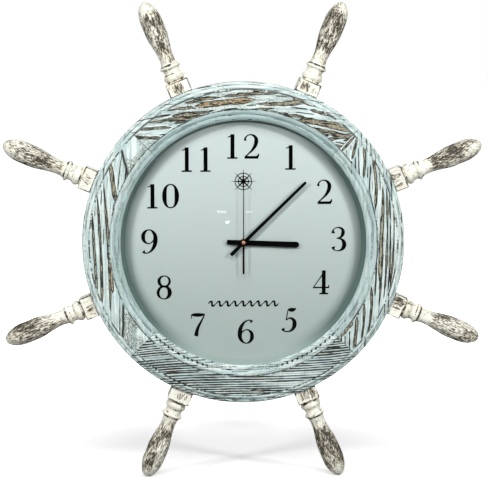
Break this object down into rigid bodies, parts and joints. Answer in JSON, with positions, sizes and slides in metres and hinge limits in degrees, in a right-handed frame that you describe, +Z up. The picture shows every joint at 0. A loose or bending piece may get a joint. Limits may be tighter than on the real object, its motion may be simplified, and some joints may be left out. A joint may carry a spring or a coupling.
{
  "type": "ship wheel clock",
  "caption": "Round wall clock in the form of a ship's steering wheel, with turned handles, a glazed dial, hands and a battery movement.",
  "frame": {"origin": "on the dial's axis at half the depth of the rim", "axes": "+Z up towards 12, the dial faces -Y, +X towards 3"},
  "size_m": [0.5648, 0.038, 0.5648],
  "materials": {
    "aqua_wood": "pale aqua paint rubbed back over brown open grain, matt",
    "bare_wood": "unfinished",
    "whitewashed_wood": "thin white wash over grey-brown grain, matt",
    "glass": "clear float glass",
    "spacer_paint": "grey-green matt",
    "dial_paint": "pale grey-green satin with black numerals",
    "hardboard": "smooth hardboard",
    "zinc_steel": "zinc plated",
    "black_case": "fine moulded texture",
    "brass_fitting": "bright turned",
    "rubber": "soft",
    "cell_sleeve": "plain printed sleeve with no words",
    "nickel_spring": "nickel plated",
    "soft_iron": "stamped",
    "gear_plastic": "natural nylon",
    "copper_wire": "enamelled copper",
    "circuit_green": "solder mask",
    "crystal_can": "tinned can",
    "chip_resin": "epoxy drop",
    "magnet": "ground",
    "black_hand": "satin black",
    "copper_cap": "polished copper colour"
  },
  "bodies": {
    "frame": {"rim_top": "aqua_wood", "rim_right": "aqua_wood", "rim_bottom": "aqua_wood", "rim_left": "aqua_wood", "rim_splines": "bare_wood", "handle_1": "whitewashed_wood", "handle_2": "whitewashed_wood", "handle_3": "whitewashed_wood", "handle_4": "whitewashed_wood", "handle_5": "whitewashed_wood", "handle_6": "whitewashed_wood", "handle_7": "whitewashed_wood", "handle_8": "whitewashed_wood", "handle_dowels": "bare_wood", "glass": "glass", "spacer_ring": "spacer_paint", "dial_plate": "dial_paint", "backing_board": "hardboard", "board_screws": "zinc_steel", "hanger_plate": "zinc_steel", "hanger_screws": "zinc_steel", "movement_housing": "black_case", "movement_cover": "black_case", "mounting_bushing": "brass_fitting", "mounting_nut": "brass_fitting", "mounting_washer": "brass_fitting", "gasket": "rubber", "middle_plate": "gear_plastic", "battery": "cell_sleeve", "contact_positive": "nickel_spring", "contact_negative": "nickel_spring", "stator": "soft_iron", "coil_core": "soft_iron", "coil_bobbin": "gear_plastic", "coil_winding": "copper_wire", "circuit_board": "circuit_green", "quartz_crystal": "crystal_can", "chip": "chip_resin"},
    "second": {"second_hand": "black_hand", "second_hand_cap": "copper_cap", "second_wheel": "gear_plastic"},
    "minute": {"minute_hand": "black_hand", "minute_hand_bush": "brass_fitting", "centre_wheel": "gear_plastic"},
    "hour": {"hour_hand": "black_hand", "hour_hand_bush": "brass_fitting", "hour_wheel": "gear_plastic"},
    "motion": {"minute_wheel": "gear_plastic"},
    "setting": {"setting_arbor": "gear_plastic", "setting_knob": "black_case"},
    "third": {"third_wheel": "gear_plastic"},
    "intermediate": {"intermediate_wheel": "gear_plastic"},
    "rotor": {"rotor_pinion": "gear_plastic", "rotor_magnet": "magnet"}
  },
  "joints": [
    {"name": "minute_turn", "type": "hinge", "parent": "frame", "child": "minute", "pos_m": [0, 0, 0], "axis": [0, 1, 0], "continuous": true},
    {"name": "hour_turn", "type": "hinge", "parent": "frame", "child": "hour", "pos_m": [0, 0, 0], "axis": [0, 1, 0], "continuous": true},
    {"name": "second_turn", "type": "hinge", "parent": "frame", "child": "second", "pos_m": [0, 0, 0], "axis": [0, 1, 0], "continuous": true},
    {"name": "motion_turn", "type": "hinge", "parent": "frame", "child": "motion", "pos_m": [0.00739, 0.01, -0.0013], "axis": [0, 1, 0], "continuous": true},
    {"name": "setting_turn", "type": "hinge", "parent": "frame", "child": "setting", "pos_m": [0.01477, 0.01, -0.0026], "axis": [0, 1, 0], "continuous": true},
    {"name": "third_turn", "type": "hinge", "parent": "frame", "child": "third", "pos_m": [-0.00779, 0.01, 0.0045], "axis": [0, 1, 0], "continuous": true},
    {"name": "intermediate_turn", "type": "hinge", "parent": "frame", "child": "intermediate", "pos_m": [0.0059, 0.01, 0.00495], "axis": [0, 1, 0], "continuous": true},
    {"name": "rotor_turn", "type": "hinge", "parent": "frame", "child": "rotor", "pos_m": [0.00776, 0.01, 0.0119], "axis": [0, 1, 0], "continuous": true}
  ],
  "couplings": [
    {"joint": "hour_turn", "follows": "minute_turn", "ratio": 0.083333},
    {"joint": "second_turn", "follows": "minute_turn", "ratio": 60},
    {"joint": "motion_turn", "follows": "minute_turn", "ratio": -0.33333},
    {"joint": "setting_turn", "follows": "minute_turn", "ratio": 1},
    {"joint": "third_turn", "follows": "minute_turn", "ratio": -7.5},
    {"joint": "intermediate_turn", "follows": "minute_turn", "ratio": -360},
    {"joint": "rotor_turn", "follows": "minute_turn", "ratio": 1800}
  ]
}
